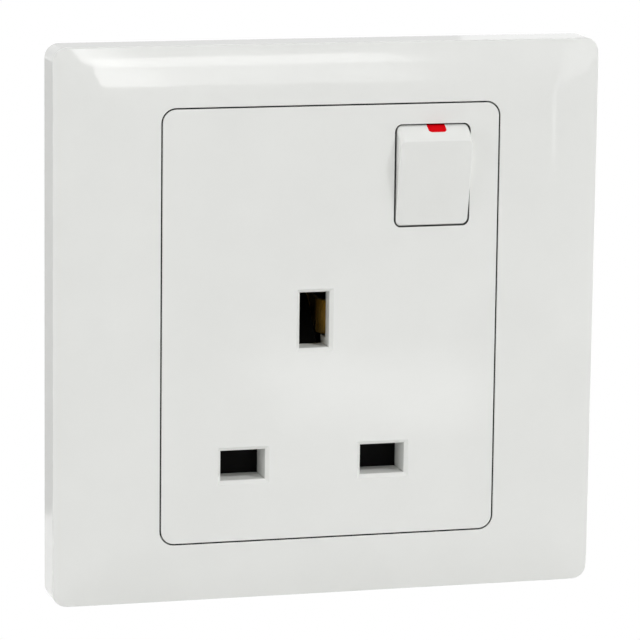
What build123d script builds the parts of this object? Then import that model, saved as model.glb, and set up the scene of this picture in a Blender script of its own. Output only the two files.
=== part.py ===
from build123d import *
import os
from math import atan2, cos, degrees, radians, sin, sqrt

# One-gang switched socket: the wall plane is Y = 0, the front faces -Y, heights count from the wall

# Surround
PLATE_SIZE = 86.0
PLATE_CORNER = 2.2
EDGE_HEIGHT = 6.3
FACE_HEIGHT = 8.0
BORDER_FLAT = 0.25
MITRE_SOFTNESS = 0.55
EDGE_ROUND = 0.3
SURROUND_WALL = 2.0
SURROUND_ROOF = 2.6
RIM_WALL = 1.2
RIM_DROP = 0.8
SEAM_GAP = 0.2
SEAM_ROUND = 0.2

# Snap hooks that hold the surround on the flange
HOOK_WIDTH = 6.0
HOOK_THICKNESS = 1.4
HOOK_SPREAD = 36.0
HOOK_BARB = 0.7
BARB_HEIGHT = 0.9
HOOK_CLEARANCE = 0.2

# Front plate
PANEL_WIDTH = 53.0
PANEL_HEIGHT = 67.1
PANEL_CORNER = 2.1
PANEL_ROOF = 2.5
PANEL_WALL = 1.6
FLANGE_THICKNESS = 2.2
FLANGE_CLEARANCE = 0.5
FLANGE_CORNER = 2.5
FIXING_PITCH = 60.3
FIXING_SLOT_WIDTH = 4.4
FIXING_SLOT_LENGTH = 6.4

# Plug pins and their slots
PIN_PITCH = 22.23
PIN_THICKNESS = 3.975
LINE_PIN_WIDTH = 6.35
EARTH_PIN_WIDTH = 7.95
LINE_PIN_LENGTH = 17.7
EARTH_PIN_LENGTH = 22.7
PIN_END_CLEARANCE = 0.7
SOCKET_X = -2.45
EARTH_Z = 0.54
SLOT_CLEARANCE = 0.37
SLOT_LEAD_IN = 0.55
COLLAR_WALL = 1.2
COLLAR_DEPTH = 5.45
LEDGE_DEPTH = 4.0

# Safety shutter and its spring
SHUTTER_THICKNESS = 1.5
SHUTTER_CLEARANCE = 0.15
SHUTTER_LAP = 0.7
STEM_WIDTH = 5.0
STEM_LENGTH = 7.0
HUB_WIDTH = 13.0
RAMP_WIDTH = 3.0
RAMP_FOOT = 2.0
RAMP_BACK = 1.2
RAMP_CLEARANCE = 0.4
GUIDE_WALL = 1.2
GUIDE_LENGTH = 4.0
SPRING_RADIUS = 1.7
SPRING_WIRE = 0.5
SPRING_TURNS = 5
SPRING_POST = 2.4
SPRING_PEG_RADIUS = 1.1
SPRING_PEG_LENGTH = 2.0

# Rocker switch
ROCKER_TOP_MARGIN = 3.4
ROCKER_RIGHT_MARGIN = 4.85
ROCKER_WIDTH = 11.5
ROCKER_LENGTH = 15.26
ROCKER_CORNER = 0.8
ROCKER_WALL = 1.3
ROCKER_TILT = 11.0
RIDGE_ROUND = 0.2
SKIRT_LAP = 6.0
WINDOW_GAP = 0.3
PIVOT_DEPTH = 4.0
TRUNNION_RADIUS = 1.2
TRUNNION_CLEARANCE = 0.05
LUG_GAP = 0.3
LUG_THICKNESS = 2.0
LUG_WALL = 1.4
MARK_WIDTH = 2.9
MARK_LENGTH = 3.1
MARK_CORNER = 0.6
MARK_DEPTH = 0.6
MARK_SHIFT = 0.44
MARK_ANGLE = 16.5

# Plunger, contact arm and contact tips
BARREL_WALL = 0.8
BARREL_LENGTH = 2.5
PLUNGER_RADIUS = 1.5
PLUNGER_CLEARANCE = 0.1
PLUNGER_REACH = 6.5
PLUNGER_GAP = 0.15
PLUNGER_SPRING_ROOM = 3.2
PLUNGER_WIRE = 0.35
PLUNGER_TURNS = 3
ARM_TILT = 8.0
ARM_THICKNESS = 1.0
ARM_WIDTH = 5.0
ARM_LONG_END = 8.0
ARM_SHORT_END = 6.0
KNIFE_RADIUS = 0.5
KNIFE_CLEARANCE = 0.06
TIP_REACH = 6.2
TIP_RADIUS = 1.6
TIP_THICKNESS = 0.8
TIP_DOME = 0.25
TIP_GAP = 0.15

# Contacts and terminals
SHEET = 0.8
STRIP_WIDTH = 4.4
CLIP_WIDTH = 6.0
CLIP_GRIP = 3.4
CLIP_FLARE = 1.2
CLIP_LEAD = 2.4
CLIP_CLEARANCE = 0.3
CONTACT_DEPTH = 9.8
EARTH_CONTACT_DEPTH = 3.6
EARTH_CLIP_WIDTH = 5.2
EARTH_CLIP_SHIFT = -0.35
TERMINAL_SIZE = 8.0
TERMINAL_WALL = 1.2
TERMINAL_CLEARANCE = 0.15
WIRE_RADIUS = 2.2
WIRE_WINDOW = 6.0
EARTH_TERMINAL_X = -9.0
LINE_TERMINAL_X = 2.5
NEUTRAL_TERMINAL_Z = -5.0
CLAMP_RADIUS = 1.75
CLAMP_CLEARANCE = 0.05
CLAMP_HEAD_RADIUS = 3.0
CLAMP_HEAD = 1.6
CLAMP_SLOT_WIDTH = 0.9
CLAMP_SLOT_DEPTH = 0.8

# Rear housing and its screws
HOUSING_WALL = 1.8
HOUSING_FLOOR = 2.0
HOUSING_SEAT = 1.1
HOUSING_REBATE = 0.8
REBATE_CLEARANCE = 0.1
HOUSING_CORNER = 2.6
HOUSING_ROUND = 0.8
RIB = 1.5
BOSS_RADIUS = 3.0
BOSS_INSET = 3.4
BOSS_MARGIN = 2.5
PILOT_DEPTH = 5.0
SCREW_RADIUS = 1.1
SCREW_CLEARANCE = 0.3
SCREW_SEAT = 3.5
SCREW_HEAD_RADIUS = 2.6
SCREW_HEAD = 1.7
SCREW_RECESS_WIDTH = 0.7
SCREW_RECESS_LENGTH = 3.0
SCREW_RECESS_DEPTH = 1.0
THREAD_CLEARANCE = 0.05

# Working planes: local axes are X and Z on FRONT, X and height on ACROSS, Z and height on UPRIGHT
FRONT = Plane.XZ
ACROSS = Plane(origin=(0, 0, 0), x_dir=(1, 0, 0), z_dir=(0, 0, -1))
UPRIGHT = Plane(origin=(0, 0, 0), x_dir=(0, 0, 1), z_dir=(1, 0, 0))

# Places of the pins and slots
LINE_X = SOCKET_X + PIN_PITCH / 2
NEUTRAL_X = SOCKET_X - PIN_PITCH / 2
PIN_ROW_Z = EARTH_Z - PIN_PITCH
LINE_SLOT = LINE_PIN_WIDTH + 2 * SLOT_CLEARANCE
EARTH_SLOT = EARTH_PIN_WIDTH + 2 * SLOT_CLEARANCE
SLOT_THICKNESS = PIN_THICKNESS + 2 * SLOT_CLEARANCE

# Panel, cavity, flange and surround in plan
OPENING_WIDTH = PANEL_WIDTH + 2 * SEAM_GAP
OPENING_HEIGHT = PANEL_HEIGHT + 2 * SEAM_GAP
OPENING_CORNER = PANEL_CORNER + SEAM_GAP
BEVEL_WIDTH = (PLATE_SIZE - OPENING_HEIGHT) / 2 - BORDER_FLAT
BEVEL_DROP = FACE_HEIGHT - EDGE_HEIGHT
BEVEL_RADIUS = (BEVEL_WIDTH**2 + BEVEL_DROP**2) / (2 * BEVEL_DROP)
MITRE_ROUND = MITRE_SOFTNESS * BEVEL_RADIUS
CAVITY_WIDTH = PANEL_WIDTH - 2 * PANEL_WALL
CAVITY_HEIGHT = PANEL_HEIGHT - 2 * PANEL_WALL
CAVITY_CORNER = PANEL_CORNER / 2
ROOF = FACE_HEIGHT - PANEL_ROOF
SURROUND_INSIDE = PLATE_SIZE - 2 * SURROUND_WALL
SURROUND_CEILING = FACE_HEIGHT - SURROUND_ROOF
FLANGE_SIZE = SURROUND_INSIDE - 2 * FLANGE_CLEARANCE
HOOK_Z = (OPENING_HEIGHT / 2 + RIM_WALL + SURROUND_INSIDE / 2) / 2

# Shutter heights and travel
COLLAR_END = FACE_HEIGHT - COLLAR_DEPTH
LEDGE_END = FACE_HEIGHT - LEDGE_DEPTH
SHUTTER_FRONT = COLLAR_END - SHUTTER_CLEARANCE
SHUTTER_BACK = SHUTTER_FRONT - SHUTTER_THICKNESS
SHUTTER_MIDDLE = (SHUTTER_FRONT + SHUTTER_BACK) / 2
SHUTTER_WIDTH = PIN_PITCH + LINE_SLOT + 2 * SHUTTER_LAP
FLAP_HEIGHT = SLOT_THICKNESS + 2 * SHUTTER_LAP
SHUTTER_TRAVEL = SLOT_THICKNESS + 2 * SHUTTER_LAP
FLAP_TOP = PIN_ROW_Z + FLAP_HEIGHT / 2
FLAP_BOTTOM = PIN_ROW_Z - FLAP_HEIGHT / 2
HUB_TOP = FLAP_TOP + STEM_LENGTH
RAMP_LOW_Z = EARTH_Z - EARTH_SLOT / 2
RAMP_HIGH_Z = EARTH_Z - EARTH_PIN_WIDTH / 2 + SHUTTER_TRAVEL
RAMP_HEIGHT = LEDGE_END - RAMP_CLEARANCE
RAMP_END = RAMP_HEIGHT - (RAMP_HIGH_Z - RAMP_LOW_Z)
SPRING_OUTSIDE = SPRING_RADIUS + SPRING_WIRE / 2
SPRING_TOP = FLAP_TOP - SHUTTER_LAP
SPRING_BOTTOM = -CAVITY_HEIGHT / 2 + SPRING_POST
NOTCH_WIDTH = 2 * (SPRING_OUTSIDE + SPRING_WIRE)

# Rocker geometry: a sector about the pivot, tilted so that its lower end is flush with the panel
ROCKER_X = PANEL_WIDTH / 2 - ROCKER_RIGHT_MARGIN - ROCKER_WIDTH / 2
ROCKER_Z = PANEL_HEIGHT / 2 - ROCKER_TOP_MARGIN - ROCKER_LENGTH / 2
PIVOT_HEIGHT = FACE_HEIGHT - PIVOT_DEPTH
PIVOT = (ROCKER_X, -PIVOT_HEIGHT, ROCKER_Z)
ROCKER_RADIUS = sqrt((ROCKER_LENGTH / 2) ** 2 + PIVOT_DEPTH**2)
WINDOW_RADIUS = ROCKER_RADIUS + WINDOW_GAP
WINDOW_WIDTH = ROCKER_WIDTH + 2 * WINDOW_GAP
FACE_HALF_ANGLE = 90 - degrees(atan2(PIVOT_DEPTH, ROCKER_LENGTH / 2)) - ROCKER_TILT
ROCKER_FACE = ROCKER_RADIUS * cos(radians(FACE_HALF_ANGLE))
ROCKER_ROOF = ROCKER_FACE - ROCKER_WALL
RIDGE_X = ROCKER_RADIUS * sin(radians(FACE_HALF_ANGLE))
LEAN_SIN = sin(radians(ROCKER_TILT))
LEAN_COS = cos(radians(ROCKER_TILT))
ROCKER_SIDE = Plane(origin=PIVOT, x_dir=(0, -LEAN_SIN, LEAN_COS), z_dir=(1, 0, 0))
ROCKER_FRONT = Plane(origin=PIVOT, x_dir=(1, 0, 0), z_dir=(0, -LEAN_COS, -LEAN_SIN))
PLUNGER_AXIS = Axis(PIVOT, (0, -LEAN_COS, -LEAN_SIN))
MARK_LEAN = radians(MARK_ANGLE + ROCKER_TILT)
MARK_PLANE = Plane(
    origin=(ROCKER_X + MARK_SHIFT, -PIVOT_HEIGHT, ROCKER_Z),
    x_dir=(1, 0, 0),
    z_dir=(0, -sin(MARK_LEAN), cos(MARK_LEAN)),
)
TRUNNION_LENGTH = LUG_GAP + LUG_THICKNESS
BARREL_BORE = PLUNGER_RADIUS + PLUNGER_CLEARANCE
PLUNGER_TIP = PLUNGER_REACH - PLUNGER_RADIUS - PLUNGER_GAP
BORE_END = ROCKER_ROOF - BARREL_WALL
PLUNGER_TOP = BORE_END - PLUNGER_SPRING_ROOM

# Contact arm: rocks on the knife edge, tilted back at its upper end while the switch is on
ARM_HEIGHT = PIVOT_HEIGHT - PLUNGER_REACH - ARM_THICKNESS
ARM_SIN = sin(radians(ARM_TILT))
ARM_COS = cos(radians(ARM_TILT))
ARM_ORIGIN = (ROCKER_X, -ARM_HEIGHT, ROCKER_Z)
ARM_SIDE = Plane(origin=ARM_ORIGIN, x_dir=(0, ARM_SIN, ARM_COS), z_dir=(1, 0, 0))
ARM_BACK = Plane(origin=ARM_ORIGIN, x_dir=(-1, 0, 0), z_dir=(0, ARM_COS, -ARM_SIN))
FIXED_TIP_Z = ROCKER_Z + TIP_REACH * ARM_COS - TIP_THICKNESS * ARM_SIN
FIXED_TIP_FRONT = ARM_HEIGHT - TIP_REACH * ARM_SIN - TIP_THICKNESS * ARM_COS - TIP_GAP
STRIP_FRONT = FIXED_TIP_FRONT - TIP_THICKNESS
STRIP_BACK = STRIP_FRONT - SHEET

# Rear housing, contacts and terminals
FLOOR = FACE_HEIGHT - EARTH_PIN_LENGTH - PIN_END_CLEARANCE - SHEET
HOUSING_BACK = FLOOR - HOUSING_FLOOR
HOUSING_WIDTH = CAVITY_WIDTH + 2 * HOUSING_SEAT
HOUSING_HEIGHT = CAVITY_HEIGHT + 2 * HOUSING_SEAT
HOUSING_INSIDE_X = HOUSING_WIDTH / 2 - HOUSING_WALL
HOUSING_INSIDE_Z = HOUSING_HEIGHT / 2 - HOUSING_WALL
CLIP_ROOT = PIN_THICKNESS / 2
CLIP_LEAF = (CLIP_GRIP / 2 + CLIP_ROOT + SHEET) / 2
LINE_CLIP_BASE = FACE_HEIGHT - LINE_PIN_LENGTH - PIN_END_CLEARANCE
EARTH_CLIP_BASE = FLOOR + SHEET
EARTH_CLIP_Z = EARTH_Z + EARTH_CLIP_SHIFT
EARTH_CLIP_FOOT = EARTH_CLIP_Z - EARTH_CLIP_WIDTH / 2
WIRE_HEIGHT = STRIP_BACK - TERMINAL_WALL - WIRE_RADIUS
TERMINAL_EDGE = TERMINAL_SIZE / 2 + 2 * TERMINAL_CLEARANCE
TOP_TERMINAL_Z = HOUSING_INSIDE_Z - TERMINAL_EDGE
NEUTRAL_TERMINAL_X = TERMINAL_EDGE - HOUSING_INSIDE_X
LINE_TERMINAL = (LINE_TERMINAL_X, TOP_TERMINAL_Z)
EARTH_TERMINAL = (EARTH_TERMINAL_X, TOP_TERMINAL_Z)
NEUTRAL_TERMINAL = (NEUTRAL_TERMINAL_X, NEUTRAL_TERMINAL_Z)
TERMINALS = (LINE_TERMINAL, EARTH_TERMINAL, NEUTRAL_TERMINAL)
BOSS_X = CAVITY_WIDTH / 2 - BOSS_INSET
BOSS_Z = CAVITY_HEIGHT / 2 - BOSS_INSET
BOSS_BELOW_ROCKER = ROCKER_Z - WINDOW_RADIUS - BOSS_RADIUS - BOSS_MARGIN
BOSSES = ((-BOSS_X, BOSS_Z), (-BOSS_X, -BOSS_Z), (BOSS_X, -BOSS_Z), (BOSS_X, BOSS_BELOW_ROCKER))


def rectangle(left, right, bottom, top):
    """Rectangle between four edges, in the active sketch."""
    with Locations(((left + right) / 2, (bottom + top) / 2)):
        Rectangle(right - left, top - bottom)


def clip_points(centre, mouth, base):
    """Inner face of a contact clip: flared mouth, grip, closed base."""
    leaf = ((CLIP_GRIP / 2 + CLIP_FLARE, mouth), (CLIP_GRIP / 2, mouth - CLIP_LEAD), (CLIP_ROOT, base))
    left = [(centre - half, height) for half, height in leaf]
    right = [(centre + half, height) for half, height in reversed(leaf)]
    return left + right


# Surround frame: one bevelled outline run both ways, so the border meets in mitres
EDGE = PLATE_SIZE / 2
FLAT = EDGE - BEVEL_WIDTH
with BuildPart() as surround_frame:
    for plane, mode in ((ACROSS, Mode.ADD), (UPRIGHT, Mode.INTERSECT)):
        with BuildSketch(plane):
            with BuildLine():
                Polyline((-EDGE, EDGE_HEIGHT), (-EDGE, 0), (EDGE, 0), (EDGE, EDGE_HEIGHT))
                TangentArc((FLAT, FACE_HEIGHT), (EDGE, EDGE_HEIGHT), tangent=(1, 0))
                Line((FLAT, FACE_HEIGHT), (-FLAT, FACE_HEIGHT))
                TangentArc((-FLAT, FACE_HEIGHT), (-EDGE, EDGE_HEIGHT), tangent=(-1, 0))
            make_face()
        extrude(amount=EDGE, both=True, mode=mode)
    fillet(surround_frame.edges().filter_by(GeomType.ELLIPSE), MITRE_ROUND)
    fillet(surround_frame.edges().filter_by(Axis.Y), PLATE_CORNER)
    highest, lowest = EDGE_HEIGHT + EDGE_ROUND, EDGE_HEIGHT - EDGE_ROUND
    fillet(surround_frame.edges().filter_by_position(Axis.Y, -highest, -lowest), EDGE_ROUND)
    with BuildSketch(FRONT):
        RectangleRounded(SURROUND_INSIDE, SURROUND_INSIDE, PLATE_CORNER / 2)
    extrude(amount=SURROUND_CEILING, mode=Mode.SUBTRACT)
    with BuildSketch(FRONT.offset(SURROUND_CEILING - RIM_DROP)):
        RectangleRounded(OPENING_WIDTH + 2 * RIM_WALL, OPENING_HEIGHT + 2 * RIM_WALL, OPENING_CORNER)
    extrude(amount=RIM_DROP)
    with BuildSketch(FRONT):
        RectangleRounded(OPENING_WIDTH, OPENING_HEIGHT, OPENING_CORNER)
    extrude(amount=FACE_HEIGHT, mode=Mode.SUBTRACT)
    front = surround_frame.faces().sort_by(Axis.Y)[0]
    fillet(front.inner_wires()[0].edges(), SEAM_ROUND)
    # Snap hooks, two above and two below, each with a barb that catches under the flange
    for side in (1, -1):
        with BuildSketch(UPRIGHT):
            with BuildLine():
                Polyline(
                    (side * (HOOK_Z - HOOK_THICKNESS / 2), SURROUND_CEILING),
                    (side * (HOOK_Z - HOOK_THICKNESS / 2), HOOK_CLEARANCE),
                    (side * (HOOK_Z + HOOK_THICKNESS / 2), HOOK_CLEARANCE),
                    (side * (HOOK_Z + HOOK_THICKNESS / 2 + HOOK_BARB), BARB_HEIGHT),
                    (side * (HOOK_Z + HOOK_THICKNESS / 2), BARB_HEIGHT),
                    (side * (HOOK_Z + HOOK_THICKNESS / 2), SURROUND_CEILING),
                    close=True,
                )
            make_face()
        hook = extrude(amount=HOOK_WIDTH / 2, both=True, mode=Mode.PRIVATE)
        with Locations((-HOOK_SPREAD / 2, 0, 0), (HOOK_SPREAD / 2, 0, 0)):
            add(hook)

# Front plate: flange and raised hollow panel
with BuildPart() as front_plate:
    with BuildSketch(FRONT):
        RectangleRounded(FLANGE_SIZE, FLANGE_SIZE, FLANGE_CORNER)
    extrude(amount=FLANGE_THICKNESS)
    with BuildSketch(FRONT):
        RectangleRounded(PANEL_WIDTH, PANEL_HEIGHT, PANEL_CORNER)
    extrude(amount=FACE_HEIGHT)
    fillet(front_plate.faces().sort_by(Axis.Y)[0].edges(), SEAM_ROUND)
    with BuildSketch(FRONT):
        RectangleRounded(CAVITY_WIDTH, CAVITY_HEIGHT, CAVITY_CORNER)
    extrude(amount=ROOF, mode=Mode.SUBTRACT)
    # Rebate at the back for the rear housing's lip
    with BuildSketch(FRONT):
        RectangleRounded(
            HOUSING_WIDTH + 2 * REBATE_CLEARANCE,
            HOUSING_HEIGHT + 2 * REBATE_CLEARANCE,
            HOUSING_CORNER + REBATE_CLEARANCE,
        )
    extrude(amount=HOUSING_REBATE, mode=Mode.SUBTRACT)
    # Collars behind the two lower slots and guide ribs below the upper one
    with BuildSketch(FRONT.offset(COLLAR_END)):
        with Locations((LINE_X, PIN_ROW_Z), (NEUTRAL_X, PIN_ROW_Z)):
            Rectangle(LINE_SLOT + 2 * COLLAR_WALL, SLOT_THICKNESS + 2 * COLLAR_WALL)
        guide_top = EARTH_CLIP_FOOT - CLIP_CLEARANCE
        for side in (1, -1):
            with Locations((SOCKET_X + side * (SLOT_THICKNESS + COLLAR_WALL) / 2, guide_top)):
                Rectangle(COLLAR_WALL, GUIDE_LENGTH, align=(Align.CENTER, Align.MAX))
    extrude(amount=ROOF - COLLAR_END)
    # Ledge at the foot of the upper slot, in front of the shutter's ramp
    with BuildSketch(FRONT.offset(LEDGE_END)):
        with Locations((SOCKET_X, RAMP_LOW_Z)):
            Rectangle(SLOT_THICKNESS + 2 * COLLAR_WALL, COLLAR_WALL, align=(Align.CENTER, Align.MAX))
    extrude(amount=ROOF - LEDGE_END)
    # Shutter guides beside the flaps, stops above its hub and the post under its spring
    with BuildSketch(FRONT.offset(SHUTTER_BACK)):
        guide = SHUTTER_WIDTH / 2 + SHUTTER_CLEARANCE
        for side in (1, -1):
            with Locations((SOCKET_X + side * (guide + GUIDE_WALL / 2), PIN_ROW_Z - SHUTTER_TRAVEL / 2)):
                Rectangle(GUIDE_WALL, FLAP_HEIGHT + SHUTTER_TRAVEL)
            with Locations((SOCKET_X + side * (HUB_WIDTH + STEM_WIDTH) / 4, HUB_TOP + SHUTTER_CLEARANCE)):
                Rectangle((HUB_WIDTH - STEM_WIDTH) / 2, GUIDE_WALL, align=(Align.CENTER, Align.MIN))
    extrude(amount=ROOF - SHUTTER_BACK)
    with BuildSketch(FRONT):
        with Locations((SOCKET_X, -CAVITY_HEIGHT / 2)):
            Rectangle(2 * SPRING_OUTSIDE, SPRING_POST, align=(Align.CENTER, Align.MIN))
    extrude(amount=ROOF)
    with BuildSketch(ACROSS.offset(-SPRING_BOTTOM)):
        with Locations((SOCKET_X, SHUTTER_MIDDLE)):
            Circle(SPRING_PEG_RADIUS)
    extrude(amount=-SPRING_PEG_LENGTH)
    # Pin slots with their bevelled lead-in
    with BuildSketch(FRONT):
        with Locations((LINE_X, PIN_ROW_Z), (NEUTRAL_X, PIN_ROW_Z)):
            Rectangle(LINE_SLOT, SLOT_THICKNESS)
        with Locations((SOCKET_X, EARTH_Z)):
            Rectangle(SLOT_THICKNESS, EARTH_SLOT)
    extrude(amount=FACE_HEIGHT, mode=Mode.SUBTRACT)
    front = front_plate.faces().sort_by(Axis.Y)[0]
    chamfer([edge for wire in front.inner_wires() for edge in wire.edges()], SLOT_LEAD_IN)
    # Rocker window: its ends are concentric with the pivot, so the gap holds as the rocker turns
    with BuildSketch(UPRIGHT.offset(ROCKER_X)):
        with Locations((ROCKER_Z, PIVOT_HEIGHT)):
            Circle(WINDOW_RADIUS)
    extrude(amount=WINDOW_WIDTH / 2, both=True, mode=Mode.SUBTRACT)
    window_ends = front_plate.faces().filter_by(GeomType.CYLINDER)
    window_ends = window_ends.filter_by(lambda face: abs(face.radius - WINDOW_RADIUS) < WINDOW_GAP / 2)
    fillet(window_ends.edges().filter_by(GeomType.CIRCLE), ROCKER_CORNER + WINDOW_GAP)
    # Bearing lugs: notches open to the back take the rocker's trunnions
    lug_radius = TRUNNION_RADIUS + TRUNNION_CLEARANCE
    lug_reach = lug_radius + LUG_WALL
    for side in (1, -1):
        with BuildSketch(UPRIGHT.offset(ROCKER_X + side * (ROCKER_WIDTH / 2 + LUG_GAP))):
            rectangle(ROCKER_Z - lug_reach, ROCKER_Z + lug_reach, PIVOT_HEIGHT - lug_reach, ROOF)
            with Locations((ROCKER_Z, PIVOT_HEIGHT)):
                Circle(lug_radius, mode=Mode.SUBTRACT)
                Rectangle(2 * lug_radius, lug_reach, align=(Align.CENTER, Align.MAX), mode=Mode.SUBTRACT)
        extrude(amount=side * LUG_THICKNESS)
    # Bosses for the housing screws
    with BuildSketch(FRONT):
        with Locations(*BOSSES):
            Circle(BOSS_RADIUS)
    extrude(amount=ROOF)
    with BuildSketch(FRONT):
        with Locations(*BOSSES):
            Circle(SCREW_RADIUS + THREAD_CLEARANCE)
    extrude(amount=PILOT_DEPTH, mode=Mode.SUBTRACT)
    # Fixing slots, and the hook slots with their catch pockets at the back
    with BuildSketch(FRONT):
        with Locations((-FIXING_PITCH / 2, 0), (FIXING_PITCH / 2, 0)):
            SlotOverall(FIXING_SLOT_LENGTH, FIXING_SLOT_WIDTH)
    extrude(amount=FLANGE_THICKNESS, mode=Mode.SUBTRACT)
    for pocket, depth in ((0, FLANGE_THICKNESS), (HOOK_BARB, BARB_HEIGHT + HOOK_CLEARANCE)):
        with BuildSketch(FRONT):
            for side in (1, -1):
                with Locations(
                    (-HOOK_SPREAD / 2, side * (HOOK_Z + pocket / 2)),
                    (HOOK_SPREAD / 2, side * (HOOK_Z + pocket / 2)),
                ):
                    Rectangle(
                        HOOK_WIDTH + 2 * HOOK_CLEARANCE, HOOK_THICKNESS + pocket + 2 * HOOK_CLEARANCE
                    )
        extrude(amount=depth, mode=Mode.SUBTRACT)

# Shutter: two flaps on a hub, and a stem that ends in the ramp for the earth pin
with BuildPart() as shutter:
    with BuildSketch(FRONT.offset(SHUTTER_BACK)):
        rectangle(SOCKET_X - SHUTTER_WIDTH / 2, SOCKET_X + SHUTTER_WIDTH / 2, FLAP_BOTTOM, FLAP_TOP)
        rectangle(SOCKET_X - HUB_WIDTH / 2, SOCKET_X + HUB_WIDTH / 2, SPRING_TOP, HUB_TOP)
        rectangle(SOCKET_X - STEM_WIDTH / 2, SOCKET_X + STEM_WIDTH / 2, FLAP_TOP, RAMP_LOW_Z - RAMP_FOOT)
        with Locations((SOCKET_X, SPRING_TOP)):
            Rectangle(NOTCH_WIDTH, FLAP_HEIGHT, align=(Align.CENTER, Align.MAX), mode=Mode.SUBTRACT)
    extrude(amount=SHUTTER_THICKNESS)
    with BuildSketch(FRONT.offset(SHUTTER_MIDDLE - SPRING_OUTSIDE)):
        with Locations((SOCKET_X, SPRING_TOP)):
            Rectangle(NOTCH_WIDTH, SPRING_POST, align=(Align.CENTER, Align.MIN))
    extrude(amount=2 * SPRING_OUTSIDE)
    with BuildSketch(ACROSS.offset(-SPRING_TOP)):
        with Locations((SOCKET_X, SHUTTER_MIDDLE)):
            Circle(SPRING_PEG_RADIUS)
    extrude(amount=SPRING_PEG_LENGTH)
    with BuildSketch(UPRIGHT.offset(SOCKET_X)):
        with BuildLine():
            Polyline(
                (RAMP_LOW_Z - RAMP_FOOT, SHUTTER_BACK),
                (RAMP_LOW_Z - RAMP_FOOT, RAMP_HEIGHT),
                (RAMP_LOW_Z, RAMP_HEIGHT),
                (RAMP_HIGH_Z, RAMP_END),
                (RAMP_HIGH_Z, RAMP_END - RAMP_BACK),
                (RAMP_HIGH_Z - (SHUTTER_BACK - RAMP_END + RAMP_BACK), SHUTTER_BACK),
                close=True,
            )
        make_face()
    extrude(amount=RAMP_WIDTH / 2, both=True)

# Shutter spring
with BuildPart() as shutter_spring:
    coil_length = SPRING_TOP - SPRING_BOTTOM - SPRING_WIRE
    with BuildLine() as coil:
        Helix(
            pitch=coil_length / SPRING_TURNS,
            height=coil_length,
            radius=SPRING_RADIUS,
            center=(SOCKET_X, -SHUTTER_MIDDLE, SPRING_BOTTOM + SPRING_WIRE / 2),
            direction=(0, 0, 1),
        )
    with BuildSketch(Plane(coil.line ^ 0)):
        Circle(SPRING_WIRE / 2)
    sweep(path=coil.line, is_frenet=True)

# Red mark let into the rocker's upper skirt
with BuildPart() as on_mark:
    with BuildSketch(MARK_PLANE):
        RectangleRounded(MARK_WIDTH, MARK_LENGTH, MARK_CORNER)
    extrude(amount=ROCKER_RADIUS + MARK_DEPTH)
    with BuildSketch(ROCKER_SIDE):
        Circle(ROCKER_RADIUS)
        Circle(ROCKER_RADIUS - MARK_DEPTH, mode=Mode.SUBTRACT)
    extrude(amount=ROCKER_WIDTH / 2, both=True, mode=Mode.INTERSECT)

# Rocker: hollow sector with a flat face, stub trunnions and the plunger's barrel
with BuildPart() as rocker:
    with BuildSketch(ROCKER_SIDE):
        with BuildLine():
            Line((RIDGE_X, ROCKER_FACE), (-RIDGE_X, ROCKER_FACE))
            skirt = FACE_HALF_ANGLE - 90 - SKIRT_LAP
            CenterArc((0, 0), ROCKER_RADIUS, 90 - FACE_HALF_ANGLE, skirt)
            CenterArc((0, 0), ROCKER_RADIUS, 90 + FACE_HALF_ANGLE, -skirt)
            skirt_x = ROCKER_RADIUS * cos(radians(SKIRT_LAP))
            skirt_y = -ROCKER_RADIUS * sin(radians(SKIRT_LAP))
            Line((-skirt_x, skirt_y), (skirt_x, skirt_y))
        make_face()
    extrude(amount=ROCKER_WIDTH / 2, both=True)
    skirts = rocker.faces().filter_by(GeomType.CYLINDER)
    fillet(skirts.edges().filter_by(GeomType.CIRCLE), ROCKER_CORNER)
    fillet(rocker.faces().sort_by(PLUNGER_AXIS)[-1].edges(), RIDGE_ROUND)
    with BuildSketch(ROCKER_SIDE):
        Circle(ROCKER_RADIUS - ROCKER_WALL)
        with Locations((0, ROCKER_ROOF)):
            Rectangle(
                2 * ROCKER_RADIUS, ROCKER_RADIUS, align=(Align.CENTER, Align.MIN), mode=Mode.SUBTRACT
            )
    extrude(amount=ROCKER_WIDTH / 2 - ROCKER_WALL, both=True, mode=Mode.SUBTRACT)
    for side in (1, -1):
        with BuildSketch(ROCKER_SIDE.offset(side * (ROCKER_WIDTH / 2 - ROCKER_WALL))):
            Circle(2 * TRUNNION_RADIUS)
        extrude(amount=side * ROCKER_WALL)
        with BuildSketch(ROCKER_SIDE.offset(side * ROCKER_WIDTH / 2)):
            Circle(TRUNNION_RADIUS)
        extrude(amount=side * TRUNNION_LENGTH)
    with BuildSketch(ROCKER_FRONT.offset(-BARREL_LENGTH)):
        Circle(BARREL_BORE + BARREL_WALL)
    extrude(amount=BARREL_LENGTH + ROCKER_ROOF)
    with BuildSketch(ROCKER_FRONT.offset(-BARREL_LENGTH)):
        Circle(BARREL_BORE)
    extrude(amount=BARREL_LENGTH + BORE_END, mode=Mode.SUBTRACT)
    add(on_mark.part, mode=Mode.SUBTRACT)

# Plunger with a round nose, sliding in the rocker's barrel
with BuildPart() as plunger:
    with BuildSketch(ROCKER_SIDE):
        with BuildLine():
            Polyline((0, -PLUNGER_TIP - PLUNGER_RADIUS), (0, PLUNGER_TOP), (PLUNGER_RADIUS, PLUNGER_TOP))
            Line((PLUNGER_RADIUS, PLUNGER_TOP), (PLUNGER_RADIUS, -PLUNGER_TIP))
            CenterArc((0, -PLUNGER_TIP), PLUNGER_RADIUS, 0, -90)
        make_face()
    revolve(axis=PLUNGER_AXIS)

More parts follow.
